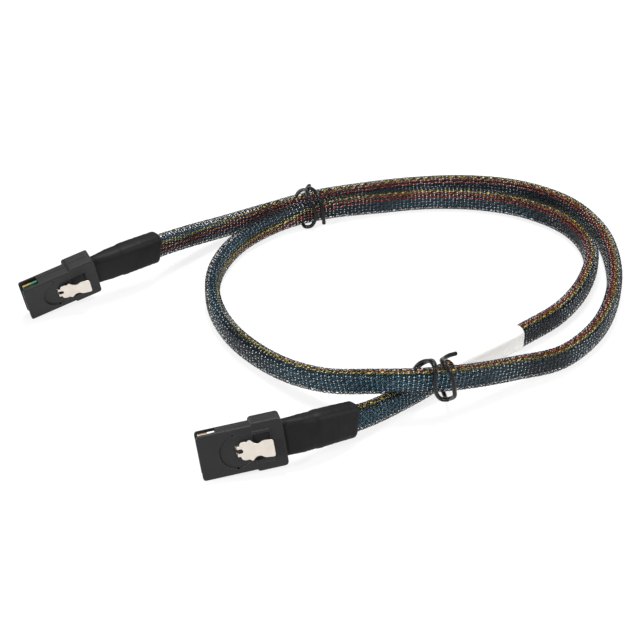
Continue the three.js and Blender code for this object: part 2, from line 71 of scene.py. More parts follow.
# The line that the cable follows, from plug A to plug B. The plugs are rigid and
# the cable leaves each one straight. It lies on the surface in one open loop and
# a half, and passes over itself in front in a long low hump.
PLUG_A = {"at": (-76.4, 38.0, 9.493), "turn": 26.0, "tilt": 11.2, "roll": 10.6}
PLUG_B = {"at": (13.5, -78.05, 11.543), "turn": 12.7, "tilt": 5.6, "roll": -17.0}
ROUTE_START_U = 31.3 * MM
AXIS_POINT_U = 41.0 * MM
AXIS_W = 4.6 * MM
ROUTE = [
    (-0.0226, 0.0730, 0.0192, 4), (-0.0051, 0.0932, 0.0142, 0), (0.0139, 0.1128, 0.0090, 0),
    (0.0354, 0.1284, 0.0072, 0), (0.0594, 0.1400, 0.0081, 0), (0.0849, 0.1505, 0.0068, 0),
    (0.1138, 0.1578, 0.0063, 0), (0.1438, 0.1598, 0.0063, 0), (0.1719, 0.1538, 0.0063, 0),
    (0.1954, 0.1370, 0.0063, 0), (0.2084, 0.1098, 0.0063, 0), (0.2106, 0.0796, 0.0063, 0),
    (0.2054, 0.0500, 0.0063, 0), (0.1936, 0.0227, 0.0063, 0), (0.1744, 0.0006, 0.0068, 0),
    (0.1514, -0.0122, 0.0100, 0), (0.1294, -0.0248, 0.0150, 0), (0.1089, -0.0328, 0.0188, 0),
    (0.0874, -0.0340, 0.0191, 0), (0.0654, -0.0246, 0.0126, 0), (0.0434, -0.0066, 0.0074, 0),
    (0.0229, 0.0182, 0.0063, 0), (0.0122, 0.0457, 0.0063, 0), (0.0115, 0.0737, 0.0063, 0),
    (0.0229, 0.1022, 0.0065, 0), (0.0444, 0.1217, 0.0079, 0), (0.0679, 0.1328, 0.0080, 0),
    (0.0944, 0.1410, 0.0064, 0), (0.1224, 0.1456, 0.0063, 0), (0.1494, 0.1442, 0.0063, 0),
    (0.1744, 0.1352, 0.0063, 0), (0.1938, 0.1168, 0.0063, 0), (0.2008, 0.0907, 0.0063, 0),
    (0.1934, 0.0622, 0.0063, 0), (0.1784, 0.0377, 0.0063, 0), (0.1599, 0.0202, 0.0066, 0),
    (0.1409, 0.0043, 0.0069, 0), (0.1214, -0.0126, 0.0082, 0), (0.1024, -0.0282, 0.0071, 0),
    (0.0839, -0.0432, 0.0081, 5), (0.0674, -0.0564, 0.0127, 12),
]
ROUTE_SAMPLES = 60


class Plug:
    """The plug's own axes: u back from the nose, v along its width, w in from the latch face."""

    def __init__(self, pose):
        turns = (pose["roll"], -pose["tilt"], pose["turn"])
        self.turn = Euler([math.radians(angle) for angle in turns], "XYZ").to_matrix()
        self.at = Vector(pose["at"]) * MM

    def point(self, u, v, w):
        return self.at + self.turn @ Vector((u, w, v))

    def way(self, u, v, w):
        return self.turn @ Vector((u, w, v))


plug_a = Plug(PLUG_A)
plug_b = Plug(PLUG_B)


def cross_frame(tangent, lean):
    """The cable's thin and tall directions at a point of its line."""
    side = np.cross((0.0, 0.0, 1.0), tangent)
    side /= np.linalg.norm(side)
    up = np.cross(tangent, side)
    thin = side * math.cos(lean) + up * math.sin(lean)
    return thin, np.cross(tangent, thin)


def lean_of(plug, direction):
    """How far the cable's tall direction leans from upright where it meets the plug."""
    thin, up = cross_frame(np.array(direction), 0.0)
    tall = np.array(plug.way(0, 1, 0))
    return math.atan2(-tall @ thin, tall @ up)


def smooth_line(points, samples):
    """A centripetal curve through the points, as many samples for each span, with the speed at each."""
    points = np.asarray(points, float)
    ends = np.vstack([2 * points[0] - points[1], points, 2 * points[-1] - points[-2]])
    line, speed = [], []
    for i in range(len(points) - 1):
        p0, p1, p2, p3 = ends[i:i + 4]
        d0, d1, d2 = (math.sqrt(np.linalg.norm(b - a)) for a, b in ((p0, p1), (p1, p2), (p2, p3)))
        m1 = ((p1 - p0) / d0 - (p2 - p0) / (d0 + d1) + (p2 - p1) / d1) * d1
        m2 = ((p2 - p1) / d1 - (p3 - p1) / (d1 + d2) + (p3 - p2) / d2) * d1
        last = i == len(points) - 2
        for t in np.linspace(0, 1, samples, endpoint=False).tolist() + ([1.0] if last else []):
            square, cube = 3 * (p2 - p1) - 2 * m1 - m2, 2 * (p1 - p2) + m1 + m2
            line.append(p1 + m1 * t + square * t ** 2 + cube * t ** 3)
            speed.append(m1 + 2 * square * t + 3 * cube * t ** 2)
    return np.array(line), np.array(speed)


class Cable:
    """Points and cross directions of the cable at any distance along its line."""

    def __init__(self):
        starts = [plug_a.point(u, 0, AXIS_W) for u in (ROUTE_START_U, AXIS_POINT_U)]
        finishes = [plug_b.point(u, 0, AXIS_W) for u in (AXIS_POINT_U, ROUTE_START_U)]
        points = [*starts, *(Vector(place[:3]) for place in ROUTE), *finishes]
        leave = lean_of(plug_a, plug_a.way(1, 0, 0))
        arrive = lean_of(plug_b, -plug_b.way(1, 0, 0))
        leans = [leave, leave, *(math.radians(place[3]) for place in ROUTE), arrive, arrive]
        self.line, speed = smooth_line(points, ROUTE_SAMPLES)
        knots = np.arange(len(self.line)) / ROUTE_SAMPLES
        index = np.minimum(knots.astype(int), len(leans) - 2)
        share = knots - index
        share = share * share * (3 - 2 * share)
        lean = np.array(leans)[index] * (1 - share) + np.array(leans)[index + 1] * share
        tangents = speed / np.linalg.norm(speed, axis=1)[:, None]
        frames = [cross_frame(t, a) for t, a in zip(tangents, lean)]
        self.thin = np.array([pair[0] for pair in frames])
        self.tall = np.array([pair[1] for pair in frames])
        steps = np.linalg.norm(np.diff(self.line, axis=0), axis=1)
        self.distance = np.concatenate([[0.0], np.cumsum(steps)])
        self.length = self.distance[-1]

    def sample(self, where):
        """Places, thin and tall directions at the distances."""
        return [
            np.column_stack([np.interp(where, self.distance, table[:, axis]) for axis in range(3)])
            for table in (self.line, self.thin, self.tall)
        ]

    def rings(self, where, sections):
        """Rings of points: one section, as (thin, tall) offsets, for each distance."""
        place, thin, tall = self.sample(np.asarray(where))
        sections = np.asarray(sections)
        return place[:, None] + thin[:, None] * sections[..., :1] + tall[:, None] * sections[..., 1:]


cable = Cable()

# Braided sleeve: an open braid of flat black monofilament strands that runs from one
# shrink tube to the other. Each strand winds round the cable and passes over and under
# the strands of the other hand, so the coloured cores show through the diamonds.
BOOT_FROM = 3.6 * MM
SLEEVE_FROM = BOOT_FROM + 15 * MM
SLEEVE_TO = cable.length - SLEEVE_FROM
SLEEVE_HEIGHT = 11.6 * MM
SLEEVE_THICKNESS = 6.9 * MM
SLEEVE_CORNER = 3.2 * MM
SLEEVE_CORNER_POINTS = 6
STRANDS = 17
CROSSING_STEP = 1.05 * MM
STRAND_WIDTH = 0.56 * MM
STRAND_THICKNESS = 0.2 * MM
STRAND_SIDES = 4
STRAND_WEAVE = 0.13 * MM
STRAND_DRIFT = 0.2
STRAND_DRIFT_TURNS = 190.0
STRAND_DRIFT_STAGGER = 2.4
STRAND_COLOURS = ((0.003, 0.003, 0.004, 1), (0.008, 0.009, 0.01, 1))
STRAND_SHADE_STEP = 0.37
STRAND_SHADE_SHARE = 0.4
STRAND_IOR = 1.27
# Painted highlight: the strands' crowns are painted pale, mostly in patches, to stand for the lamps' glints
# on them.
PAINTED_GLINT_COLOUR = (0.6, 0.66, 0.68, 1)
GLINT_FROM = 0.55
GLINT_GAIN = 2.6
GLINT_IN_PATCHES = 0.85
GLINT_ELSEWHERE = 0.08
GLINT_SHARE = 0.8
GLINT_SHARE_BY_HAND = 0.2
FLARE = 0.13
FLARE_RUN = 35 * MM


class Term:
    """A node socket that can be added, multiplied and so on. Each operator adds its Math node."""

    def __init__(self, graph, socket):
        self.graph = graph
        self.socket = socket

    def math(self, operation, *others):
        values = dict(enumerate([self, *others]))
        return self.graph.term("ShaderNodeMath", {"operation": operation}, values)

    def __add__(self, other):
        return self.math("ADD", other)

    def __mul__(self, other):
        return self.math("MULTIPLY", other)

    def __sub__(self, other):
        return self.math("SUBTRACT", other)

    def __rsub__(self, other):
        return (self * -1.0) + other

    __radd__ = __add__
    __rmul__ = __mul__


class Graph:
    """A node tree, emptied and built node by node."""

    def __init__(self, tree):
        self.tree = tree
        tree.nodes.clear()

    def node(self, kind, settings=None, values=None):
        made = self.tree.nodes.new(kind)
        for key, value in (settings or {}).items():
            setattr(made, key, value)
        for key, value in (values or {}).items():
            self.feed(made.inputs[key], value)
        return made

    def feed(self, socket, value):
        if isinstance(value, Term):
            self.tree.links.new(value.socket, socket)
        else:
            socket.default_value = value

    def term(self, kind, settings=None, values=None, output=0):
        return Term(self, self.node(kind, settings, values).outputs[output])

    def vector(self, operation, *values, output=0):
        return self.term("ShaderNodeVectorMath", {"operation": operation}, dict(enumerate(values)), output)

    def scaled(self, vector, factor):
        return self.term("ShaderNodeVectorMath", {"operation": "SCALE"}, {0: vector, "Scale": factor})

    def stored(self, kind, geometry, name, value):
        return self.term("GeometryNodeStoreNamedAttribute", {"data_type": kind, "domain": "POINT"},
                         {"Geometry": geometry, "Name": name, "Value": value})

    def inputs(self, sockets):
        for label, kind in sockets.items():
            self.tree.interface.new_socket(label, in_out="INPUT", socket_type="NodeSocket" + kind)
        given = self.node("NodeGroupInput")
        return {label: Term(self, given.outputs[label]) for label in sockets}

    def finished_mesh(self, geometry, material):
        """The tree's output: one real mesh with its material."""
        self.tree.interface.new_socket("Mesh", in_out="OUTPUT", socket_type="NodeSocketGeometry")
        mesh = self.term("GeometryNodeRealizeInstances", None, {"Geometry": geometry})
        mesh = self.term("GeometryNodeSetMaterial", None, {"Geometry": mesh, "Material": material})
        self.node("NodeGroupOutput", None, {0: mesh})


def strand_tree():
    """One hand of the braid, wound round the line that the modified mesh gives."""
    tree = bpy.data.node_groups.new("braid strands", "GeometryNodeTree")
    graph = Graph(tree)
    size = graph.inputs({
        "Line": "Geometry", "Strands": "Int", "Crossings": "Int", "Hand": "Float", "Height": "Float",
        "Thickness": "Float", "Corner": "Float", "Corner Points": "Int", "Strand Width": "Float",
        "Strand Thickness": "Float", "Weave": "Float", "Drift": "Float", "Drift Turns": "Float",
        "Material": "Material",
    })

    line = graph.term("GeometryNodeMeshToCurve", None, {"Mesh": size["Line"]})
    outline = graph.term("GeometryNodeCurvePrimitiveQuadrilateral", None,
                         {"Width": size["Thickness"], "Height": size["Height"]})
    outline = graph.term("GeometryNodeFilletCurve", {"mode": "POLY"},
                         {"Curve": outline, "Count": size["Corner Points"], "Radius": size["Corner"]})
    strand = graph.term("GeometryNodeCurvePrimitiveLine")
    strand = graph.term("GeometryNodeResampleCurve", None,
                        {"Curve": strand, "Count": size["Crossings"] + 1.0})
    copies = graph.node("GeometryNodeDuplicateElements", {"domain": "SPLINE"},
                        {"Geometry": strand, "Amount": size["Strands"]})
    number = Term(graph, copies.outputs["Duplicate Index"])

    along = graph.term("GeometryNodeSplineParameter")
    turns = size["Crossings"].math("DIVIDE", size["Strands"]) * 0.5
    drift = (along * size["Drift Turns"] + number * STRAND_DRIFT_STAGGER).math("SINE") * size["Drift"]
    around = (number + drift).math("DIVIDE", size["Strands"]) + size["Hand"] * along * turns
    spot = graph.node("GeometryNodeSampleCurve", {"mode": "FACTOR"},
                      {"Curves": outline, "Factor": around.math("FRACT")})
    offset = graph.node("ShaderNodeSeparateXYZ", None, {0: Term(graph, spot.outputs["Position"])})
    course = graph.node("ShaderNodeSeparateXYZ", None, {0: Term(graph, spot.outputs["Tangent"])})
    out_thin = Term(graph, course.outputs[1])
    out_tall = Term(graph, course.outputs[0]) * -1.0
    wave = (along * size["Crossings"] * math.pi).math("COSINE") * size["Hand"] * size["Weave"]
    place = None
    ways = {}
    for way in ("thin", "tall"):
        named = graph.term("GeometryNodeInputNamedAttribute", {"data_type": "FLOAT_VECTOR"}, {"Name": way})
        sample = graph.node("GeometryNodeSampleCurve", {"mode": "FACTOR", "data_type": "FLOAT_VECTOR"},
                            {"Curves": line, "Value": named, "Factor": along})
        ways[way] = Term(graph, sample.outputs["Value"])
        place = Term(graph, sample.outputs["Position"])
    thin_offset = Term(graph, offset.outputs[0]) + out_thin * wave
    tall_offset = Term(graph, offset.outputs[1]) + out_tall * wave
    place = graph.vector("ADD", place, graph.scaled(ways["thin"], thin_offset))
    place = graph.vector("ADD", place, graph.scaled(ways["tall"], tall_offset))
    outward = graph.vector("ADD", graph.scaled(ways["thin"], out_thin), graph.scaled(ways["tall"], out_tall))

    strands = graph.stored("FLOAT_VECTOR", Term(graph, copies.outputs["Geometry"]), "outward", outward)
    strands = graph.stored("FLOAT", strands, "strand", number)
    # The crown also places the painted highlights on the strands; the right hand's crowns get most of them.
    crown = wave.math("DIVIDE", size["Weave"]) * (size["Hand"] * GLINT_SHARE_BY_HAND + GLINT_SHARE)
    strands = graph.stored("FLOAT", strands, "crown", crown)
    strands = graph.term("GeometryNodeSetPosition", None, {"Geometry": strands, "Position": place})
    facing = graph.term("GeometryNodeInputNamedAttribute", {"data_type": "FLOAT_VECTOR"}, {"Name": "outward"})
    strands = graph.term("GeometryNodeSetCurveNormal", {"mode": "FREE"}, {"Curve": strands, "Normal": facing})
    profile = graph.term("GeometryNodeCurvePrimitiveCircle", {"mode": "RADIUS"},
                         {"Resolution": STRAND_SIDES, "Radius": 1.0})
    scale = graph.term("ShaderNodeCombineXYZ", None,
                       {0: size["Strand Thickness"] * 0.5, 1: size["Strand Width"] * 0.5, 2: 1.0})
    profile = graph.term("GeometryNodeTransform", None, {"Geometry": profile, "Scale": scale})
    mesh = graph.term("GeometryNodeCurveToMesh", None,
                      {"Curve": strands, "Profile Curve": profile, "Fill Caps": True})
    mesh = graph.term("GeometryNodeSetShadeSmooth", None, {"Geometry": mesh, "Shade Smooth": True})
    graph.finished_mesh(mesh, size["Material"])
    return tree


def baked(tree, source, name, values):
    """Runs a tree on a mesh and returns the result as a plain piece."""
    carrier = placed(name + " source", source)
    modifier = carrier.modifiers.new("tree", "NODES")
    modifier.node_group = tree
    for item in tree.interface.items_tree:
        if item.in_out == "INPUT" and item.name in values:
            modifier[item.identifier] = values[item.name]
    bpy.context.view_layer.update()
    evaluated = carrier.evaluated_get(bpy.context.evaluated_depsgraph_get())
    mesh = bpy.data.meshes.new_from_object(evaluated)
    mesh.name = name
    bpy.data.objects.remove(carrier)
    return placed(name, mesh)


def finish(name):
    """A new material, its graph and its shader."""
    material = bpy.data.materials.new(name)
    material.use_nodes = True
    graph = Graph(material.node_tree)
    shader = graph.node("ShaderNodeBsdfPrincipled")
    output = graph.node("ShaderNodeOutputMaterial")
    graph.tree.links.new(shader.outputs[0], output.inputs[0])
    return material, graph, shader


def speckle(graph, scale, detail=3.0):
    """Noise from 0 to 1 on the object's own coordinates. The scale is in grains for each metre."""
    place = graph.term("ShaderNodeTexCoord", output=3)
    return graph.term("ShaderNodeTexNoise", None, {"Vector": place, "Scale": scale, "Detail": detail})


def patchwork(graph, scale, start, gain, detail=3.0):
    """Patches of 1 on 0, where the noise passes the start. The gain sets how sharp their edges are."""
    return ((speckle(graph, scale, detail) - start) * gain).math("MAXIMUM", 0.0).math("MINIMUM", 1.0)


def vary_roughness(graph, shader, smoothest, span, grains):
    """Roughness that noise varies, from the smoothest up by the span."""
    graph.feed(shader.inputs["Roughness"], speckle(graph, grains) * span + smoothest)


def blend_colour(graph, share, low, high):
    return graph.term("ShaderNodeMix", {"data_type": "RGBA"}, {0: share, 6: low, 7: high}, 2)


def relief(graph, shader, height, depth, strength=1.0):
    """A bump of the height, with its depth in metres."""
    bump = graph.term("ShaderNodeBump", None, {"Strength": strength, "Distance": depth, "Height": height})
    graph.feed(shader.inputs["Normal"], bump)


def eased(value):
    value = np.clip(value, 0, 1)
    return value * value * (3 - 2 * value)


def strand_finish():
    material, graph, shader = finish("black monofilament")
    number = graph.term("ShaderNodeAttribute", {"attribute_name": "strand"}, output=2)
    crown = graph.term("ShaderNodeAttribute", {"attribute_name": "crown"}, output=2)
    own_shade = (number * STRAND_SHADE_STEP).math("FRACT")
    streak = own_shade * STRAND_SHADE_SHARE + speckle(graph, 260.0) * (1 - STRAND_SHADE_SHARE)
    dark = blend_colour(graph, streak, *STRAND_COLOURS)
    patches = patchwork(graph, 45.0, start=0.42, gain=6.0)
    # Painted highlight: where a strand passes over, its colour is painted pale, mostly in patches.
    height = ((crown - GLINT_FROM) * GLINT_GAIN).math("MAXIMUM", 0.0)
    painted_glint = height * (patches * GLINT_IN_PATCHES + GLINT_ELSEWHERE)
    graph.feed(shader.inputs["Base Color"], blend_colour(graph, painted_glint, dark, PAINTED_GLINT_COLOUR))
    vary_roughness(graph, shader, smoothest=0.2, span=0.15, grains=900.0)
    shader.inputs["IOR"].default_value = STRAND_IOR
    return material


def sleeve_line():
    crossings = round((SLEEVE_TO - SLEEVE_FROM) / CROSSING_STEP)
    where = np.linspace(SLEEVE_FROM, SLEEVE_TO, crossings + 1)
    place, thin, tall = cable.sample(where)
    from_end = np.minimum(where - SLEEVE_FROM, SLEEVE_TO - where) / FLARE_RUN
    tall *= (1 + FLARE * (1 - eased(from_end)))[:, None]
    mesh = bpy.data.meshes.new("sleeve line")
    mesh.from_pydata(place.tolist(), [(i, i + 1) for i in range(crossings)], [])
    for way, table in (("thin", thin), ("tall", tall)):
        attribute = mesh.attributes.new(way, "FLOAT_VECTOR", "POINT")
        attribute.data.foreach_set("vector", table.astype(np.float32).ravel())
    return mesh, crossings


braid_finish = strand_finish()
braid_tree = strand_tree()
for hand, label in ((1.0, "right"), (-1.0, "left")):
    source, crossings = sleeve_line()
    piece = baked(braid_tree, source, f"braid_{label}_hand", {
        "Strands": STRANDS, "Crossings": crossings, "Hand": hand, "Height": SLEEVE_HEIGHT,
        "Thickness": SLEEVE_THICKNESS, "Corner": SLEEVE_CORNER, "Corner Points": SLEEVE_CORNER_POINTS,
        "Strand Width": STRAND_WIDTH, "Strand Thickness": STRAND_THICKNESS, "Weave": STRAND_WEAVE,
        "Drift": STRAND_DRIFT, "Drift Turns": STRAND_DRIFT_TURNS, "Material": braid_finish,
    })
    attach(piece, "root")
    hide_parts("braided_sleeve")

# Ribbon cables: four flat cables side by side on edge, each a row of shielded pairs
# under one blue jacket, so both faces are ribbed along the length.
RIBBON_COUNT = 4
RIBBON_THICKNESS = 0.74 * MM
RIBBON_HEIGHT = 7.2 * MM
RIBBON_DROP = 0.7 * MM
RIBBON_GAP = 0.2 * MM
RIBBON_CORES = 7
RIBBON_GROOVE = 0.17 * MM
CORE_STEP = 4.0 * MM
JACKET_COLOURS = ((0.008, 0.028, 0.048, 1), (0.06, 0.21, 0.31, 1))


def skin(name, rings, wrap=False):
    """A closed mesh over rings of points: capped at its ends, or joined end to end where it wraps."""
    rings = np.asarray(rings)
    count, around = rings.shape[:2]
    faces = []
    for i in range(count if wrap else count - 1):
        here, beyond = i * around, (i + 1) % count * around
        for k in range(around):
            nearby = (k + 1) % around
            faces.append((here + k, here + nearby, beyond + nearby, beyond + k))
    if not wrap:
        faces.append(tuple(range(around)))
        faces.append(tuple(range((count - 1) * around, count * around)))
    mesh = bpy.data.meshes.new(name)
    mesh.from_pydata(rings.reshape(-1, 3).tolist(), [], faces)
    form = bmesh.new()
    form.from_mesh(mesh)
    bmesh.ops.recalc_face_normals(form, faces=form.faces)
    form.to_mesh(mesh)
    form.free()
    mesh.shade_smooth()
    return placed(name, mesh)


def ribbon_section(centre):
    """One ribbon across: ridges over its cores and grooves between them, on both faces."""
    rows = RIBBON_CORES * 2 + 1
    tall = np.linspace(-RIBBON_HEIGHT / 2, RIBBON_HEIGHT / 2, rows) - RIBBON_DROP
    deep = np.where(np.arange(rows) % 2 == 1, RIBBON_THICKNESS / 2, RIBBON_THICKNESS / 2 - RIBBON_GROOVE)
    front = np.column_stack([centre + deep, tall])
    back = np.column_stack([centre - deep, tall])[::-1]
    return np.vstack([front, back])


def ribbon_finish():
    material, graph, shader = finish("blue ribbon jacket")
    patches = patchwork(graph, 14.0, start=0.4, gain=4.0, detail=1.0)
    graph.feed(shader.inputs["Base Color"], blend_colour(graph, patches, *JACKET_COLOURS))
    vary_roughness(graph, shader, smoothest=0.15, span=0.25, grains=500.0)
    relief(graph, shader, speckle(graph, 1600.0), depth=0.06 * MM)
    return material


core_distances = np.linspace(0, cable.length, round(cable.length / CORE_STEP) + 1)
jacket = ribbon_finish()
for i in range(RIBBON_COUNT):
    centre = (i - (RIBBON_COUNT - 1) / 2) * (RIBBON_THICKNESS + RIBBON_GAP)
    section = ribbon_section(centre)
    sections = np.repeat(section[None], len(core_distances), 0)
    piece = skin(f"ribbon_{i + 1}", cable.rings(core_distances, sections))
    piece.data.materials.append(jacket)
    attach(piece, "root")
    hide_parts(f"ribbon_cable_{i + 1}")

# Side-band wires: three thin insulated wires that lie side by side over the upper edge
# of the ribbons, inside the sleeve. They slip round the ribbons' side where the cable
# bends: the bundle's turn is given at points of the route, in degrees.
WIRES = {
    "yellow": {"turn": 0, "colour": (0.8, 0.62, 0.05, 1)},
    "orange": {"turn": -28, "colour": (0.8, 0.15, 0.03, 1)},
    "red": {"turn": -54, "colour": (0.6, 0.05, 0.03, 1)},
}
BUNDLE_TURNS = [
    (-2, 22), (0, -60), (1, -65), (2, -40), (3, -12), (6, 0), (8, 5), (10, 10), (12, 20),
    (14, 22), (16, 18), (18, 12), (20, -6), (21, -60), (22, -112), (24, -112), (25, -95),
    (26, -25), (27, -5), (29, -12), (31, -5), (33, 15), (35, 20), (37, 10), (39, 0), (42, 22),
]
WIRE_RADIUS = 0.6 * MM
WIRE_SIDES = 10
WIRE_REACH = 2.55 * MM
WIRE_RISE = 4.9 * MM
WIRE_SHADE = 0.45


def mottled(name, colours, colour_grains, smoothest, roughness_span, roughness_grains,
            bump_grains=None, bump_depth=0.0, bump_strength=1.0, bump_detail=3.0):
    """A material whose colour, roughness and surface each follow their own noise."""
    material, graph, shader = finish(name)
    graph.feed(shader.inputs["Base Color"], blend_colour(graph, speckle(graph, colour_grains), *colours))
    vary_roughness(graph, shader, smoothest, roughness_span, roughness_grains)
    if bump_grains:
        relief(graph, shader, speckle(graph, bump_grains, bump_detail), bump_depth, bump_strength)
    return material, shader


def wire_finish(label, colour):
    dark = tuple(WIRE_SHADE * part for part in colour[:3]) + (1,)
    return mottled(
        f"{label} wire insulation", (dark, colour), 30.0,
        smoothest=0.25, roughness_span=0.2, roughness_grains=600.0,
        bump_grains=2200.0, bump_depth=0.04 * MM,
    )[0]


circle = np.linspace(0, 2 * math.pi, WIRE_SIDES, endpoint=False)
turn_points, bundle_turns = zip(*BUNDLE_TURNS)
turn_distances = cable.distance[(np.array(turn_points) + 2) * ROUTE_SAMPLES]
bundle_turn = np.interp(core_distances, turn_distances, bundle_turns)
for label, wire in WIRES.items():
    place = np.radians(bundle_turn + wire["turn"])[:, None]
    across = WIRE_REACH * np.sin(place) + WIRE_RADIUS * np.cos(circle)[None]
    up = WIRE_RISE * np.cos(place) + WIRE_RADIUS * np.sin(circle)[None]
    piece = skin(f"{label}_wire", cable.rings(core_distances, np.stack([across, up], axis=2)))
    piece.data.materials.append(wire_finish(label, wire["colour"]))
    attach(piece, "root")
    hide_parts(f"wire_{label}")

# Shrink tubes: black heat-shrink that closes the sleeve's cut ends and enters the
# plug's outlet. Each is wide and flat at the plug and narrows over the braid, with a
# small step where a second layer begins, and a few shallow wrinkles across it.
BOOT_LENGTH = 36 * MM
BOOT_SHOULDER = 11 * MM
BOOT_WALL = 0.7 * MM
BOOT_HEIGHT = 15.9 * MM
BOOT_THICKNESS = 9.3 * MM
BOOT_MOUTH_HEIGHT = 17.2 * MM
BOOT_MOUTH_THICKNESS = 6.6 * MM
BOOT_CORNER = 3.4 * MM
BOOT_STEP_AT = 14.6 * MM
BOOT_STEP = 0.28 * MM
BOOT_STEP_RUN = 1.2 * MM
BOOT_RING_STEP = 0.6 * MM
BOOT_LIP = 0.3 * MM
BOOT_CORNER_ROOM = 0.1 * MM
BOOT_IOR = 1.2
WRINKLE = 0.04 * MM
WRINKLE_PER_MM = 1.9
WRINKLE_GROUP_PER_MM = 0.43
WRINKLE_GROUP_START = 0.6


def rounded_section(height, thickness, corner, corner_points=6):
    """Points round a rectangle with round corners, as (thin, tall) offsets."""
    points = []
    for sx, sy, start in ((1, 1, 0), (-1, 1, 90), (-1, -1, 180), (1, -1, 270)):
        for turn in np.radians(start + np.linspace(0, 90, corner_points)):
            points.append((sx * (thickness / 2 - corner) + corner * math.cos(turn),
                           sy * (height / 2 - corner) + corner * math.sin(turn)))
    return np.array(points)


def boot_sections(distances, inset):
    """The tube's section at each distance from its plug end. The inset gives its inner wall."""
    sections = []
    for d in distances:
        opening = eased(d / BOOT_SHOULDER)
        fall = eased(d / BOOT_LENGTH)
        height = BOOT_MOUTH_HEIGHT + (BOOT_HEIGHT - BOOT_MOUTH_HEIGHT) * fall
        thickness = BOOT_MOUTH_THICKNESS + (BOOT_THICKNESS - BOOT_MOUTH_THICKNESS) * opening
        layer = -BOOT_STEP * (1 - eased((d - BOOT_STEP_AT) / BOOT_STEP_RUN))
        group = math.sin(d / MM * WRINKLE_GROUP_PER_MM + WRINKLE_GROUP_START)
        wrinkle = WRINKLE * math.sin(d / MM * WRINKLE_PER_MM) * group
        lip = -BOOT_LIP * (1 - eased((BOOT_LENGTH - d) / BOOT_LIP))
        grow = 2 * (layer + wrinkle + lip - inset)
        corner = min(BOOT_CORNER, (thickness + grow) / 2 - BOOT_CORNER_ROOM)
        sections.append(rounded_section(height + grow, thickness + grow, corner))
    return np.array(sections)


boot_material, boot_shader = mottled(
    "black shrink tube", ((0.006, 0.006, 0.0065, 1), (0.011, 0.011, 0.012, 1)), 150.0,
    smoothest=0.42, roughness_span=0.2, roughness_grains=400.0,
    bump_grains=160.0, bump_depth=0.5 * MM, bump_strength=0.5, bump_detail=5.0,
)
boot_shader.inputs["IOR"].default_value = BOOT_IOR
boot_distances = np.linspace(0, BOOT_LENGTH, round(BOOT_LENGTH / BOOT_RING_STEP) + 1)
for letter in ("a", "b"):
    along = BOOT_FROM + boot_distances
    if letter == "b":
        along = cable.length - along
    outside = cable.rings(along, boot_sections(boot_distances, 0.0))
    inside = cable.rings(along, boot_sections(boot_distances, BOOT_WALL))
    piece = skin(f"shrink_sleeve_{letter}", np.vstack([outside, inside[::-1]]), wrap=True)
    piece.data.materials.append(boot_material)
    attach(piece, "root")
    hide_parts(f"shrink_tube_{letter}")

# Label: one turn of thin white film, stuck right round the sleeve on the front run.
# It is left bare.
LABEL_FROM = 1018 * MM
LABEL_LENGTH = 45 * MM
LABEL_THICKNESS = 0.12 * MM
LABEL_HEIGHT = 12.4 * MM
LABEL_DEPTH = 7.6 * MM
LABEL_CORNER = 3.3 * MM
LABEL_CORNER_POINTS = 5
LABEL_RING_STEP = 1.5 * MM
LABEL_SWELL = 0.06 * MM
LABEL_SWELL_PER_MM = 0.55


def label_sections(distances, inset):
    sections = []
    for d in distances:
        grow = 2 * (LABEL_SWELL * math.sin(d / MM * LABEL_SWELL_PER_MM) - inset)
        sections.append(rounded_section(
            LABEL_HEIGHT + grow, LABEL_DEPTH + grow, LABEL_CORNER, LABEL_CORNER_POINTS))
    return np.array(sections)


label_material, _ = mottled(
    "white label film", ((0.76, 0.75, 0.72, 1), (0.68, 0.67, 0.645, 1)), 60.0,
    smoothest=0.4, roughness_span=0.2, roughness_grains=300.0,
    bump_grains=420.0, bump_depth=0.25 * MM, bump_strength=0.5,
)
label_distances = np.linspace(0, LABEL_LENGTH, round(LABEL_LENGTH / LABEL_RING_STEP) + 1)
label_along = LABEL_FROM + label_distances
label_outside = cable.rings(label_along, label_sections(label_distances, 0.0))
label_inside = cable.rings(label_along, label_sections(label_distances, LABEL_THICKNESS))
label = skin("bare_label", np.vstack([label_outside, label_inside[::-1]]), wrap=True)
label.data.materials.append(label_material)
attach(label, "root")
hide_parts("label_wrap")

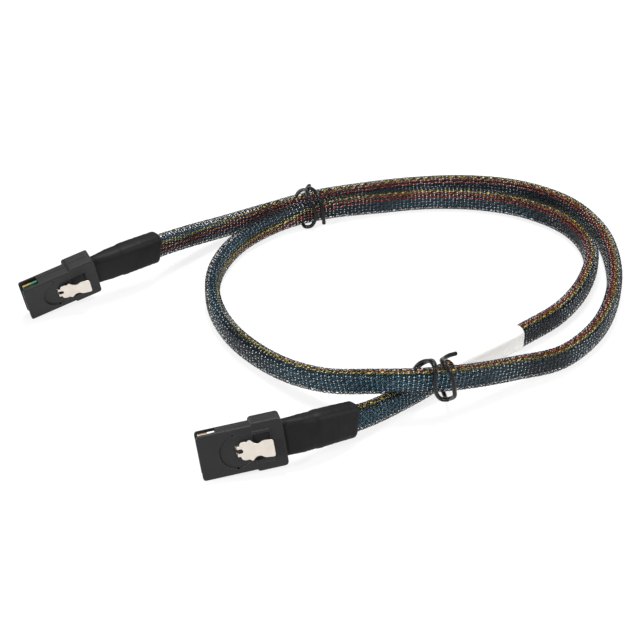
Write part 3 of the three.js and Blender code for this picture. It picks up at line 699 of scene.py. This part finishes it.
# Twist ties: soft steel wire in a thick glossy black coating, wound by hand round
# both strands, with loose cut ends.
TIE_RADIUS = 0.98 * MM
TIE_SIDES = 12
TIE_SAMPLES = 8
TIE_TIP = 0.15 * MM
TIE_TIP_SHARE = 0.8
TIE_FIRST_SIDE = (0.3, 0.5, 0.8)
TIE_IOR = 1.3
TIE_POINTS = {
    "a": [
        (50.3, 142.6, 6.8), (51.3, 142.1, 11.4), (53.6, 138.2, 15.8), (56, 133.2, 18.6),
        (56.9, 128.4, 19.1), (57.8, 124.8, 18.2), (59.7, 123.7, 14.3), (61, 123.5, 9.9),
        (60.7, 123.7, 5.8), (58.6, 124.1, 2.1), (55.7, 124.8, 1.3), (54, 129.6, 1.1),
        (53.6, 135.2, 0.9), (54, 141.2, 1.3), (55, 145, 4), (56.6, 146.2, 10),
        (57.8, 144.8, 14.8), (56.5, 138.8, 16.6), (58.6, 135.2, 18.6), (61, 130.2, 19.3),
        (62.9, 126.2, 17.7), (64.2, 124.4, 13.6), (65.1, 123.8, 8.5), (65.5, 124.4, 3.5),
    ],
    "b": [
        (123.4, -19.8, 23.7), (120, -22.8, 24.8), (117.3, -26.8, 26), (116.1, -31.3, 28.3),
        (117, -35.3, 29.1), (119.3, -37.6, 26.8), (121, -38, 22.3), (121.8, -37, 16.6),
        (122.2, -35.4, 12.1), (120, -28.8, 5.2), (119.8, -23.8, 1.6), (118.8, -16.8, 0.9),
        (117.6, -10.8, 1.4), (116.4, -8.4, 5), (114.4, -10.2, 12.4), (110, -16.2, 16.2),
        (105.3, -23.4, 17.9), (106.9, -26.8, 23.4), (109.5, -29.8, 27), (111.7, -34.3, 29.5),
        (112.8, -37.6, 28.4), (113.1, -38, 23.4), (113.4, -37.4, 18), (114.7, -36, 12.8),
        (116.8, -35.4, 10.3), (119.6, -36.4, 10.9),
    ],
}


def tie_rings(points):
    """Rings round a hand-bent wire, carried along without twist, with rounded cut ends."""
    line, speed = smooth_line(np.array(points) * MM, TIE_SAMPLES)
    tangents = speed / np.linalg.norm(speed, axis=1)[:, None]
    side = np.cross(tangents[0], TIE_FIRST_SIDE)
    angles = np.linspace(0, 2 * math.pi, TIE_SIDES, endpoint=False)
    rings = []
    last = len(line) - 1
    for i, (place, tangent) in enumerate(zip(line, tangents)):
        side -= tangent * (side @ tangent)
        side /= np.linalg.norm(side)
        other = np.cross(tangent, side)
        ring = np.cos(angles)[:, None] * side + np.sin(angles)[:, None] * other
        end = -tangent if i == 0 else tangent if i == last else None
        if end is None:
            rings.append(place + TIE_RADIUS * ring)
        else:
            tip = [place + TIE_RADIUS * ring, place + TIE_TIP * end + TIE_TIP_SHARE * TIE_RADIUS * ring]
            rings.extend(reversed(tip) if i == 0 else tip)
    return rings


tie_material, tie_shader = mottled(
    "black tie coating", ((0.003, 0.003, 0.004, 1), (0.006, 0.006, 0.007, 1)), 200.0,
    smoothest=0.18, roughness_span=0.2, roughness_grains=500.0,
    bump_grains=1100.0, bump_depth=0.1 * MM, bump_strength=0.7,
)
tie_shader.inputs["IOR"].default_value = TIE_IOR
for letter, points in TIE_POINTS.items():
    piece = skin(f"wire_tie_{letter}", tie_rings(points))
    piece.data.materials.append(tie_material)
    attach(piece, "root")
    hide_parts(f"twist_tie_{letter}")

# Plug housings: two shells of black glass-filled plastic, pressed together on pins.
# The mould left a fine satin grain, and the edges are painted a little paler as a highlight.
EDGE_BLEND = 0.22 * MM
# Painted highlight: the rounded edges are painted paler, where the light would catch them.
EDGE_HIGHLIGHT_GAIN = 5.0
EDGE_HIGHLIGHT_SHARE = 0.7
HOUSING_COLOURS = ((0.011, 0.011, 0.012, 1), (0.016, 0.016, 0.017, 1))
PAINTED_EDGE_HIGHLIGHT_COLOUR = (0.09, 0.09, 0.095, 1)
GRAIN_STRENGTH = 0.35
GRAIN_DEPTH = 0.06 * MM
HOUSING_IOR = 1.31


def housing_finish():
    material, graph, shader = finish("black moulded plastic")
    soft = graph.term("ShaderNodeBevel", {"samples": 6}, {"Radius": EDGE_BLEND})
    flat = graph.term("ShaderNodeNewGeometry", output=3)
    edge = 1.0 - graph.vector("DOT_PRODUCT", soft, flat, output=1)
    # Painted highlight on the edges, found from the bevel's rounded normal.
    painted_edge_highlight = (edge * EDGE_HIGHLIGHT_GAIN).math("MINIMUM", 1.0) * EDGE_HIGHLIGHT_SHARE
    body = blend_colour(graph, speckle(graph, 70.0), *HOUSING_COLOURS)
    graph.feed(shader.inputs["Base Color"], blend_colour(graph, painted_edge_highlight, body, PAINTED_EDGE_HIGHLIGHT_COLOUR))
    vary_roughness(graph, shader, smoothest=0.4, span=0.14, grains=800.0)
    grain = speckle(graph, 5200.0, 2.0)
    bump = graph.term("ShaderNodeBump", None,
                      {"Strength": GRAIN_STRENGTH, "Distance": GRAIN_DEPTH, "Height": grain, "Normal": soft})
    graph.feed(shader.inputs["Normal"], bump)
    shader.inputs["IOR"].default_value = HOUSING_IOR
    return material


def dress(node, material):
    """Gives a carried-over solid its finish."""
    mesh_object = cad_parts[node]
    mesh_object.data.materials.clear()
    mesh_object.data.materials.append(material)


housing_material = housing_finish()
for letter in ("a", "b"):
    dress(f"cover_shell_{letter}", housing_material)
    dress(f"base_shell_{letter}", housing_material)

# Solder blocks: a black hot-melt moulding over the joints between the card and the
# cores. It fills the chamber at the back of the shells.
block_material, _ = mottled(
    "black hot melt", ((0.012, 0.012, 0.012, 1), (0.03, 0.03, 0.03, 1)), 200.0,
    smoothest=0.5, roughness_span=0.2, roughness_grains=400.0, bump_grains=500.0, bump_depth=0.3 * MM,
)
for letter in ("a", "b"):
    dress(f"solder_block_{letter}", block_material)

# Paddle cards: glass laminate under solder mask, green in one plug and white in the
# other, with faint copper tracks under the mask that run back from the contacts.
TRACK_PITCH = 0.95 * MM
TRACK_CUT = 0.2
TRACK_RISE = 0.03 * MM
CARD_COLOURS = {
    "a": {"mask": (0.012, 0.085, 0.045, 1), "track": (0.03, 0.14, 0.07, 1)},
    "b": {"mask": (0.74, 0.74, 0.70, 1), "track": (0.82, 0.82, 0.78, 1)},
}


def card_finish(plug, label, colours):
    material, graph, shader = finish(f"{label} solder mask")
    place = graph.term("ShaderNodeTexCoord", output=3)
    turn = plug.turn.inverted().to_euler()
    local = graph.vector("SUBTRACT", place, tuple(plug.at))
    local = graph.term("ShaderNodeMapping", {"vector_type": "POINT"},
                       {"Vector": local, "Rotation": tuple(turn)})
    across = graph.term("ShaderNodeSeparateXYZ", None, {0: local}, 2)
    track = (across * (2 * math.pi / TRACK_PITCH)).math("COSINE").math("GREATER_THAN", TRACK_CUT)
    graph.feed(shader.inputs["Base Color"], blend_colour(graph, track, colours["mask"], colours["track"]))
    vary_roughness(graph, shader, smoothest=0.28, span=0.15, grains=500.0)
    relief(graph, shader, track, depth=TRACK_RISE)
    return material


dress("paddle_card_a", card_finish(plug_a, "green", CARD_COLOURS["a"]))
dress("paddle_card_b", card_finish(plug_b, "white", CARD_COLOURS["b"]))

# Contact pads: a row of gold-plated fingers on each face of the card, near its front
# edge, and a plated strip on each of its sides. The fingers cap the solid card's pads.
PAD_COUNT = 18
PAD_PITCH = 0.95 * MM
PAD_WIDTH = 0.59 * MM
PAD_LENGTH = 4.44 * MM
PAD_MIDDLE_U = 4.0 * MM
PAD_HEIGHT = 0.04 * MM
PAD_FACES_W = (3.12 * MM, 4.28 * MM)
PAD_BEVEL = 0.012 * MM
EDGE_PLATE_FROM = 1.25 * MM
EDGE_PLATE_TO = 5.4 * MM
EDGE_PLATE_V = 9.72 * MM
EDGE_PLATE_THICKNESS = 0.05 * MM
CARD_FACES_W = (3.2 * MM, 4.2 * MM)


def pad_tree():
    tree = bpy.data.node_groups.new("contact pads", "GeometryNodeTree")
    graph = Graph(tree)
    size = graph.inputs({
        "Ground": "Geometry", "Count": "Int", "Pitch": "Float", "Size": "Vector", "Material": "Material",
    })
    half_row = (size["Count"] - 1.0) * size["Pitch"] * -0.5
    first = graph.term("ShaderNodeCombineXYZ", None, {0: 0.0, 1: 0.0, 2: half_row})
    step = graph.term("ShaderNodeCombineXYZ", None, {0: 0.0, 1: 0.0, 2: size["Pitch"]})
    row = graph.term("GeometryNodeMeshLine", None,
                     {"Count": size["Count"], "Start Location": first, "Offset": step})
    pad = graph.term("GeometryNodeMeshCube", None, {"Size": size["Size"]})
    pads = graph.term("GeometryNodeInstanceOnPoints", None, {"Points": row, "Instance": pad})
    graph.finished_mesh(pads, size["Material"])
    return tree


gold, gold_shader = mottled(
    "gold plating", ((0.78, 0.45, 0.14, 1), (0.62, 0.33, 0.1, 1)), 500.0,
    smoothest=0.25, roughness_span=0.2, roughness_grains=900.0,
)
gold_shader.inputs["Metallic"].default_value = 1.0
contact_tree = pad_tree()
for letter, plug in (("a", plug_a), ("b", plug_b)):
    for side, face in zip(("front", "back"), PAD_FACES_W):
        source = bpy.data.meshes.new("pads")
        pads = baked(contact_tree, source, f"gold_pads_{letter}_{side}", {
            "Count": PAD_COUNT, "Pitch": PAD_PITCH, "Size": (PAD_LENGTH, PAD_HEIGHT, PAD_WIDTH),
            "Material": gold,
        })
        seat = Matrix.Translation(plug.point(PAD_MIDDLE_U, 0, face))
        pads.data.transform(seat @ plug.turn.to_4x4())
        trim = pads.modifiers.new("edges", "BEVEL")
        trim.width = PAD_BEVEL
        trim.segments = 1
        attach(pads, "root")
    form = bmesh.new()
    for side in (-1, 1):
        middle_u = (EDGE_PLATE_FROM + EDGE_PLATE_TO) / 2
        middle = plug.point(middle_u, side * EDGE_PLATE_V, sum(CARD_FACES_W) / 2)
        card_thickness = CARD_FACES_W[1] - CARD_FACES_W[0]
        spans = (EDGE_PLATE_TO - EDGE_PLATE_FROM, card_thickness, EDGE_PLATE_THICKNESS)
        box = bmesh.ops.create_cube(form, size=1.0)["verts"]
        bmesh.ops.scale(form, vec=spans, verts=box)
        bmesh.ops.rotate(form, matrix=plug.turn, verts=box)
        bmesh.ops.translate(form, vec=middle, verts=box)
    mesh = bpy.data.meshes.new(f"gold_edges_{letter}")
    form.to_mesh(mesh)
    form.free()
    mesh.materials.append(gold)
    edges = placed(mesh.name, mesh)
    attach(edges, "root")

# Spring latches: one stamped and folded sheet of stainless steel in each plug. A
# slotted pair of tines, a crown with four points, a neck and a thumb pad.
LATCH_SLOT_U = 16.2 * MM
LATCH_RISE = 14.0
SHEET = 0.4 * MM
SPRING_METAL = 0.85
LATCH_STAND = 0.05 * MM
TINE_IN = 1.0 * MM
TINE_OUT = 2.3 * MM
SLOT_END = 1.4 * MM
HOOK_LENGTH = 1.2 * MM
HOOK_W = 1.65 * MM
LATCH_ROOT = -0.2 * MM
RISER_LAP = 0.02 * MM
HOOK_GAP = 0.01 * MM
LATCH_BEVEL = 0.07 * MM
SLOT_POINTS = 9
LATCH_OUTLINE = [
    (-0.2, 2.3), (1.15, 2.4), (1.3, 3.4), (2.0, 4.0), (3.0, 4.15), (3.6, 4.1), (4.5, 3.95), (5.3, 4.45),
    (5.75, 4.75), (6.15, 4.4), (6.8, 3.75), (7.6, 3.1), (8.4, 2.78), (9.2, 2.75), (10.0, 3.05),
    (10.7, 3.5), (11.4, 3.78), (12.4, 3.87), (13.6, 3.87), (14.7, 3.85), (15.2, 3.68), (15.5, 3.35),
    (15.6, 2.9),
]


def latch_outline():
    """The plate's outline: out round the crown, neck and pad, and back round the slot."""
    half = [(u * MM, v * MM) for u, v in LATCH_OUTLINE]
    arc = [(SLOT_END + TINE_IN * math.cos(a), TINE_IN * math.sin(a))
           for a in np.linspace(-math.pi / 2, math.pi / 2, SLOT_POINTS)]
    other_half = [(u, -v) for u, v in reversed(half)]
    return [(LATCH_ROOT, TINE_IN), *half, *other_half, (LATCH_ROOT, -TINE_IN), *arc]


def latch_mesh(letter, plug):
    """The plate, and under each tine a riser and a hook."""
    form = bmesh.new()
    rise = math.radians(LATCH_RISE)

    def prism(outline, low, high, place):
        faces = [[form.verts.new(place(a, v, w)) for a, v in outline] for w in (low, high)]
        form.faces.new(faces[0])
        form.faces.new(list(reversed(faces[1])))
        for k in range(len(outline)):
            n = (k + 1) % len(outline)
            form.faces.new((faces[0][n], faces[0][k], faces[1][k], faces[1][n]))

    def on_plate(a, v, w):
        u = LATCH_SLOT_U + a * math.cos(rise) + w * math.sin(rise)
        return plug.point(u, v, w * math.cos(rise) - a * math.sin(rise) - LATCH_STAND)

    def on_plug(a, v, w):
        return plug.point(LATCH_SLOT_U + a, v, w)

    prism(latch_outline(), -SHEET, 0.0, on_plate)
    for side in (-1, 1):
        inner, outer = sorted((side * TINE_IN, side * TINE_OUT))
        for start, end, low in (
            (LATCH_ROOT, LATCH_ROOT + SHEET, -RISER_LAP),
            (-HOOK_LENGTH, LATCH_ROOT - HOOK_GAP, HOOK_W),
        ):
            bar = [(start, inner), (end, inner), (end, outer), (start, outer)]
            prism(bar, low, HOOK_W + SHEET, on_plug)
    bmesh.ops.recalc_face_normals(form, faces=form.faces)
    mesh = bpy.data.meshes.new(f"spring_{letter}")
    form.to_mesh(mesh)
    form.free()
    piece = placed(f"spring_{letter}", mesh)
    edges = piece.modifiers.new("edges", "BEVEL")
    edges.width = LATCH_BEVEL
    edges.segments = 2
    edges.limit_method = "ANGLE"
    return piece


spring_material, spring_shader = mottled(
    "satin stainless", ((0.62, 0.56, 0.5, 1), (0.76, 0.7, 0.64, 1)), 350.0,
    smoothest=0.36, roughness_span=0.2, roughness_grains=1400.0,
    bump_grains=3000.0, bump_depth=0.03 * MM, bump_strength=0.5,
)
spring_shader.inputs["Metallic"].default_value = SPRING_METAL
for letter, plug in (("a", plug_a), ("b", plug_b)):
    spring = latch_mesh(letter, plug)
    spring.data.materials.append(spring_material)
    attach(spring, f"latch_{letter}")
    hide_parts(f"latch_spring_{letter}")

# Stage: a plain white floor, and soft studio light from above and from both sides.
FLOOR_SIZE = 8.0
FLOOR_GLOW = 0.8
FLOOR_WHITE = (0.92, 0.92, 0.92, 1)
SKY = 0.42

floor_mesh = bpy.data.meshes.new("floor")
half = FLOOR_SIZE / 2
corners = [(-half, -half, 0), (half, -half, 0), (half, half, 0), (-half, half, 0)]
floor_mesh.from_pydata(corners, [], [(0, 1, 2, 3)])
floor = placed("floor", floor_mesh)
floor_material = bpy.data.materials.new("white floor")
floor_material.use_nodes = True
floor_graph = Graph(floor_material.node_tree)
paths = floor_graph.node("ShaderNodeLightPath")
seen = Term(floor_graph, paths.outputs["Is Camera Ray"])
for ray in ("Is Glossy Ray", "Is Transmission Ray"):
    seen = seen.math("MAXIMUM", Term(floor_graph, paths.outputs[ray]))
matt = floor_graph.term("ShaderNodeBsdfDiffuse", None, {"Color": FLOOR_WHITE})
glow = floor_graph.term("ShaderNodeEmission", None, {"Color": (1, 1, 1, 1), "Strength": 1.0})
mixed = floor_graph.term("ShaderNodeMixShader", None, {0: seen * FLOOR_GLOW, 1: matt, 2: glow})
floor_graph.node("ShaderNodeOutputMaterial", None, {0: mixed})
floor_mesh.materials.append(floor_material)

world = bpy.data.worlds.new("studio")
bpy.context.scene.world = world
world.use_nodes = True
sky_graph = Graph(world.node_tree)
sky_paths = sky_graph.node("ShaderNodeLightPath")
sky_seen = Term(sky_graph, sky_paths.outputs["Is Camera Ray"])
strength = sky_seen * (1.0 - SKY) + SKY
sky = sky_graph.term("ShaderNodeBackground", None, {"Color": (1, 1, 1, 1), "Strength": strength})
sky_graph.node("ShaderNodeOutputWorld", None, {0: sky})

LAMPS = {
    "overhead": {"place": (0.1, 0.25, 0.9), "size": 0.4, "power": 10.0},
    "left": {"place": (-0.6, -0.7, 0.5), "size": 0.2, "power": 8.0},
    "right": {"place": (0.9, -0.3, 0.5), "size": 0.2, "power": 5.0},
}
for label, lamp in LAMPS.items():
    light = bpy.data.lights.new(label, "AREA")
    light.shape = "DISK"
    light.size = lamp["size"]
    light.energy = lamp["power"]
    holder = placed(label, light)
    holder.location = lamp["place"]
    toward_lamp = Vector(lamp["place"]) - Vector(AIM)
    holder.rotation_euler = toward_lamp.to_track_quat("Z", "Y").to_euler()

bpy.context.scene.view_settings.view_transform = "Standard"

bpy.context.view_layer.update()
